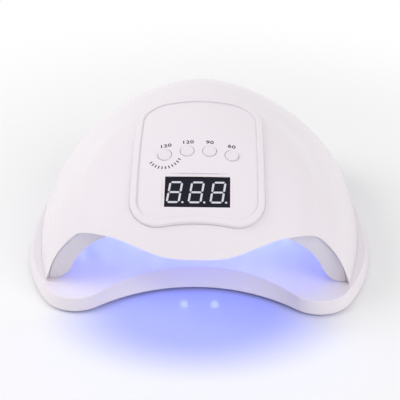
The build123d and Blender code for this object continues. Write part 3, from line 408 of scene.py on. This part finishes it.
def tick_scale_mesh():
    """Ticks set along an arc with geometry nodes."""
    tree = bpy.data.node_groups.new("tick_scale", "GeometryNodeTree")
    face = tree.interface
    face.new_socket("Geometry", in_out="OUTPUT", socket_type="NodeSocketGeometry")
    sizes = {"Radius": SCALE_RADIUS, "Start": radians(SCALE_START), "Sweep": radians(SCALE_END - SCALE_START),
             "Length": TICK_LENGTH, "Width": TICK_WIDTH}
    for label in sizes:
        face.new_socket(label, in_out="INPUT", socket_type="NodeSocketFloat")
    face.new_socket("Ticks", in_out="INPUT", socket_type="NodeSocketInt")
    add = tree.nodes.new
    link = tree.links.new
    given = add("NodeGroupInput")
    arc = add("GeometryNodeCurveArc")
    arc.inputs["Resolution"].default_value = 64
    link(given.outputs["Radius"], arc.inputs["Radius"])
    link(given.outputs["Start"], arc.inputs["Start Angle"])
    link(given.outputs["Sweep"], arc.inputs["Sweep Angle"])
    points = add("GeometryNodeCurveToPoints")
    points.mode = "COUNT"
    link(arc.outputs["Curve"], points.inputs["Curve"])
    link(given.outputs["Ticks"], points.inputs["Count"])
    bar = add("GeometryNodeMeshGrid")
    bar.inputs["Vertices X"].default_value = 3
    bar.inputs["Vertices Y"].default_value = 2
    link(given.outputs["Width"], bar.inputs["Size Y"])
    link(given.outputs["Length"], bar.inputs["Size X"])
    place = add("GeometryNodeInputPosition")
    turn = add("FunctionNodeAlignRotationToVector")
    turn.axis = "X"
    turn.pivot_axis = "Z"
    link(place.outputs["Position"], turn.inputs["Vector"])
    copies = add("GeometryNodeInstanceOnPoints")
    link(points.outputs["Points"], copies.inputs["Points"])
    link(bar.outputs["Mesh"], copies.inputs["Instance"])
    link(turn.outputs["Rotation"], copies.inputs["Rotation"])
    solid = add("GeometryNodeRealizeInstances")
    link(copies.outputs["Instances"], solid.inputs["Geometry"])
    paint = add("GeometryNodeSetMaterial")
    paint.inputs["Material"].default_value = PRINT_GREY
    link(solid.outputs["Geometry"], paint.inputs["Geometry"])
    result = add("NodeGroupOutput")
    link(paint.outputs["Geometry"], result.inputs["Geometry"])
    holder = bpy.data.objects.new("scale", bpy.data.meshes.new("scale"))
    bpy.context.scene.collection.objects.link(holder)
    build = holder.modifiers.new("ticks", "NODES")
    build.node_group = tree
    sizes["Ticks"] = SCALE_TICKS
    for socket in tree.interface.items_tree:
        if socket.in_out == "INPUT":
            build[socket.identifier] = sizes[socket.name]
    depsgraph = bpy.context.evaluated_depsgraph_get()
    mesh = bpy.data.meshes.new_from_object(holder.evaluated_get(depsgraph), depsgraph=depsgraph)
    bpy.data.objects.remove(holder)
    mesh.transform(Matrix.Translation((SCALE_CENTRE[0] * MM, SCALE_CENTRE[1] * MM, 0)))
    return mesh


def print_panel():
    laid_on_panel([number_mesh(*number) for number in NUMBERS], "time_numbers")
    laid_on_panel([tick_scale_mesh()], "tick_scale")


# Stage

def seen_rays(tree):
    """One for rays that show a surface directly, in a gloss or through glass."""
    path = tree.nodes.new("ShaderNodeLightPath")
    total = path.outputs["Is Camera Ray"]
    for kind in ("Is Glossy Ray", "Is Transmission Ray"):
        either = tree.nodes.new("ShaderNodeMath")
        either.operation = "MAXIMUM"
        tree.links.new(total, either.inputs[0])
        tree.links.new(path.outputs[kind], either.inputs[1])
        total = either.outputs["Value"]
    return total


def ramp(tree, value, start, end):
    """Zero before the start and one after the end."""
    node = tree.nodes.new("ShaderNodeMapRange")
    node.interpolation_type = "SMOOTHSTEP"
    node.inputs["From Min"].default_value = start
    node.inputs["From Max"].default_value = end
    tree.links.new(value, node.inputs["Value"])
    return node.outputs["Result"]


def length_from(tree, centre, scale):
    """Distance from a centre over the floor, in an ellipse's own measure."""
    place = tree.nodes.new("ShaderNodeTexCoord")
    moved = tree.nodes.new("ShaderNodeMapping")
    moved.inputs["Location"].default_value = (-centre[0] * scale[0], -centre[1] * scale[1], 0)
    moved.inputs["Scale"].default_value = (scale[0], scale[1], 0)
    tree.links.new(place.outputs["Object"], moved.inputs["Vector"])
    reach = tree.nodes.new("ShaderNodeVectorMath")
    reach.operation = "LENGTH"
    tree.links.new(moved.outputs["Vector"], reach.inputs[0])
    return reach.outputs["Value"]


def floor_material():
    """Pale tabletop with a sheen, and a pool of the hood's light painted into its colour in front."""
    material, tree, shader = new_material("floor")
    link = tree.links.new
    # Painted light: the floor's colour turns blue in an ellipse in front of the mouth, as the hood's light on
    # the table
    glow = length_from(tree, PAINTED_GLOW_CENTRE, (1 / PAINTED_GLOW_REACH[0], 1 / PAINTED_GLOW_REACH[1]))
    mix = tree.nodes.new("ShaderNodeMix")
    mix.data_type = "RGBA"
    mix.inputs["A"].default_value = (*PAINTED_GLOW_COLOUR, 1)
    mix.inputs["B"].default_value = (*FLOOR_COLOUR, 1)
    link(ramp(tree, glow, *PAINTED_GLOW_EDGE), mix.inputs["Factor"])
    link(mix.outputs["Result"], shader.inputs["Base Color"])
    shader.inputs["Roughness"].default_value = 0.5
    shader.inputs["Specular IOR Level"].default_value = 0.2
    shader.inputs["Coat Weight"].default_value = 0.6
    shader.inputs["Coat Roughness"].default_value = 0.05
    white = tree.nodes.new("ShaderNodeEmission")
    far = tree.nodes.new("ShaderNodeMath")
    far.operation = "MULTIPLY"
    link(ramp(tree, length_from(tree, (0, 0), (1, 1)), FLOOR_CLEAR, FLOOR_BRIGHT), far.inputs[0])
    link(seen_rays(tree), far.inputs[1])
    blend = tree.nodes.new("ShaderNodeMixShader")
    link(far.outputs["Value"], blend.inputs["Fac"])
    link(shader.outputs["BSDF"], blend.inputs[1])
    link(white.outputs["Emission"], blend.inputs[2])
    link(blend.outputs["Shader"], tree.nodes["Material Output"].inputs["Surface"])
    return material


def add_floor():
    form = bmesh.new()
    bmesh.ops.create_grid(form, x_segments=8, y_segments=8, size=FLOOR_SIZE)
    mesh = bpy.data.meshes.new("floor")
    form.to_mesh(mesh)
    form.free()
    floor = add_piece("floor", mesh, floor_material())


def add_softbox(name, place, aim, size, power, colour=(1, 1, 1)):
    lamp = bpy.data.lights.new(name, "AREA")
    lamp.shape = "RECTANGLE"
    lamp.size = size[0]
    lamp.size_y = size[1]
    lamp.energy = power
    lamp.color = colour
    box = bpy.data.objects.new(name, lamp)
    bpy.context.scene.collection.objects.link(box)
    box.location = Vector(place)
    box.rotation_euler = (Vector(aim) - Vector(place)).to_track_quat("-Z", "Y").to_euler()
    box.visible_camera = False
    box.visible_glossy = False
    return box


def light_stage():
    world = bpy.data.worlds.new("studio")
    bpy.context.scene.world = world
    world.use_nodes = True
    tree = world.node_tree
    backdrop = tree.nodes["Background"]
    backdrop.inputs["Color"].default_value = (1, 1, 1, 1)
    level = tree.nodes.new("ShaderNodeMapRange")
    level.inputs["To Min"].default_value = SKY_LEVEL
    level.inputs["To Max"].default_value = 1.0
    tree.links.new(seen_rays(tree), level.inputs["Value"])
    tree.links.new(level.outputs["Result"], backdrop.inputs["Strength"])
    for name, (place, side, power) in SOFTBOXES.items():
        add_softbox(name, place, AIM, (side, side), power)
    under = (HOOD_LIGHT_PLACE[0], HOOD_LIGHT_PLACE[1], 0)
    hood_light = add_softbox("hood_light", HOOD_LIGHT_PLACE, under, HOOD_LIGHT_SIZE, HOOD_LIGHT_POWER, BLUE)
    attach(hood_light, "lamp")


def add_camera():
    azimuth = radians(CAMERA_AZIMUTH)
    elevation = radians(CAMERA_ELEVATION)
    back = Vector((sin(azimuth) * cos(elevation), -cos(azimuth) * cos(elevation), sin(elevation)))
    right = (-back).cross(Vector((0, 0, 1))).normalized()
    up = back.cross(right)
    roll = radians(CAMERA_ROLL)
    turned_right = right * cos(roll) + up * sin(roll)
    turned_up = up * cos(roll) - right * sin(roll)
    lens = bpy.data.cameras.new("camera")
    lens.lens = CAMERA_LENS
    lens.sensor_width = 36
    camera = bpy.data.objects.new("camera", lens)
    bpy.context.scene.collection.objects.link(camera)
    matrix = Matrix((turned_right, turned_up, back)).transposed().to_4x4()
    matrix.translation = CAMERA_TARGET + back * CAMERA_DISTANCE
    camera.matrix_world = matrix
    bpy.context.scene.camera = camera


dress_nodes()
print_panel()
add_floor()
light_stage()
add_camera()
bpy.context.scene.view_settings.view_transform = "Standard"
